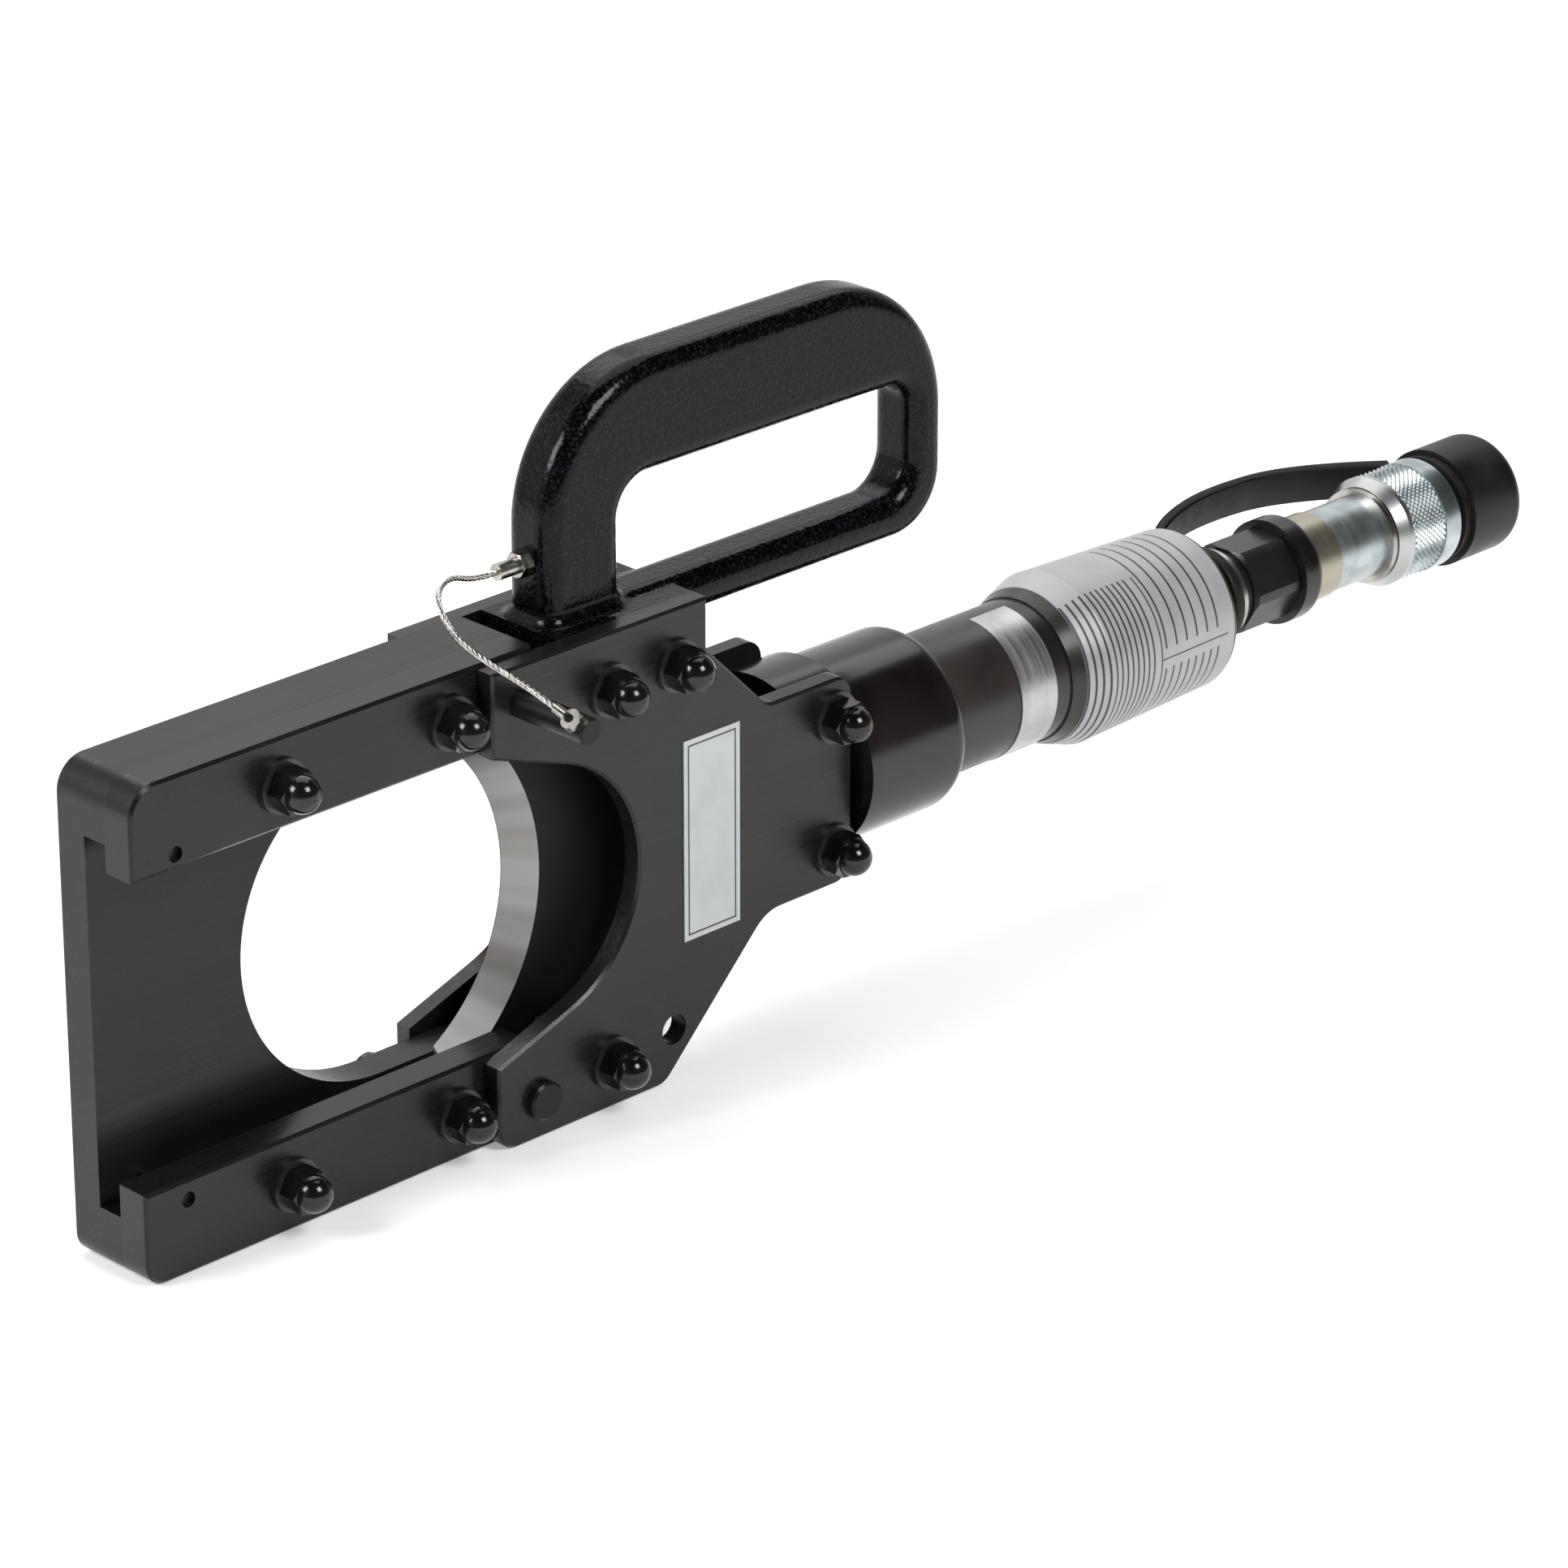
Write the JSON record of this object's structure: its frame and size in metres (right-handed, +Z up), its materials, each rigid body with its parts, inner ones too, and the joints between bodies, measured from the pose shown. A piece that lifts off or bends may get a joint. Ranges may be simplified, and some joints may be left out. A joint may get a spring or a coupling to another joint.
{
  "type": "hydraulic cable cutter head",
  "caption": "Hydraulic cutter head: an open-frame guillotine blade driven by a spring-return ram, with a hinged latch frame, loop handle and screw hose coupler with a dust cap.",
  "frame": {"origin": "on the standing face, under the centre of the round cutting notch, in the blade's middle plane", "axes": "+X along the ram from the cutting notch to the hose coupler, +Y from the nuts' side to the bolt heads' side, +Z up"},
  "size_m": [0.4915, 0.0759, 0.1864],
  "materials": {
    "blackened_steel": "satin black oxide",
    "black_fasteners": "gloss black",
    "hammered_casting": "black hammered enamel",
    "tool_steel": "ground",
    "ground_steel": "ground",
    "barrel_steel": "satin black",
    "bronze": "machined",
    "foil": "satin foil",
    "label": "semi gloss",
    "plated_steel": "zinc plated",
    "rubber": "matt",
    "cap_plastic": "moulded"
  },
  "bodies": {
    "tool_body": {"front_side_plate": "blackened_steel", "rear_side_plate": "blackened_steel", "carry_handle": "hammered_casting", "neck_block": "blackened_steel", "foot_spacer": "blackened_steel", "hinge_pin": "black_fasteners", "body_bolts": "black_fasteners", "body_washers": "black_fasteners", "body_cap_nuts": "black_fasteners", "cylinder_collar": "blackened_steel", "rod_wiper": "rubber", "rod_bush": "bronze", "barrel": "barrel_steel", "rear_cylinder": "blackened_steel", "barrel_seal": "rubber", "return_spring": "ground_steel", "foil_wrap": "foil", "barrel_band": "foil", "side_label": "label", "hose_adapter": "blackened_steel", "adapter_snap_ring": "ground_steel", "coupler_body": "plated_steel", "sleeve_retaining_ring": "plated_steel", "poppet_spring": "ground_steel", "cap_strap": "rubber", "lanyard_anchor": "ground_steel", "lanyard_wire": "ground_steel"},
    "cutting_frame": {"fixed_blade_plate": "blackened_steel", "upper_rail": "blackened_steel", "lower_rail": "blackened_steel", "upper_spacer": "blackened_steel", "lower_spacer": "blackened_steel", "blade_stop_pins": "black_fasteners", "hinge_bushes": "bronze", "frame_bolts": "black_fasteners", "frame_washers": "black_fasteners", "frame_cap_nuts": "black_fasteners"},
    "blade_ram": {"moving_blade": "tool_steel", "blade_pin": "ground_steel", "piston_rod": "ground_steel", "piston": "ground_steel", "piston_seal": "rubber"},
    "latch": {"latch_pin": "black_fasteners", "latch_eye": "ground_steel"},
    "cap": {"dust_cap": "cap_plastic", "strap_end_ring": "rubber"},
    "sleeve": {"coupler_sleeve": "plated_steel"},
    "poppet": {"coupler_poppet": "plated_steel"}
  },
  "joints": [
    {"name": "blade_slide", "type": "slide", "parent": "tool_body", "child": "blade_ram", "axis": [-1, 0, 0], "range_m": [0, 0.0856], "stiffness_N_per_m": 700, "springref_m": -0.03, "deforming": ["return_spring"]},
    {"name": "frame_hinge", "type": "hinge", "parent": "tool_body", "child": "cutting_frame", "pos_m": [0.0323, 0, 0.01045], "axis": [0, -1, 0], "range_deg": [0, 100]},
    {"name": "latch_pin_slide", "type": "slide", "parent": "tool_body", "child": "latch", "axis": [0, 1, 0], "range_m": [-0.004, 0.0145], "deforming": ["lanyard_wire"]},
    {"name": "dust_cap_slide", "type": "slide", "parent": "tool_body", "child": "cap", "axis": [1, 0, 0], "range_m": [0, 0.03]},
    {"name": "sleeve_spin", "type": "hinge", "parent": "tool_body", "child": "sleeve", "pos_m": [0.36725, 0, 0.0634], "axis": [1, 0, 0], "continuous": true},
    {"name": "poppet_slide", "type": "slide", "parent": "tool_body", "child": "poppet", "axis": [-1, 0, 0], "range_m": [0, 0.003], "stiffness_N_per_m": 1000, "springref_m": -0.002, "deforming": ["poppet_spring"]}
  ]
}
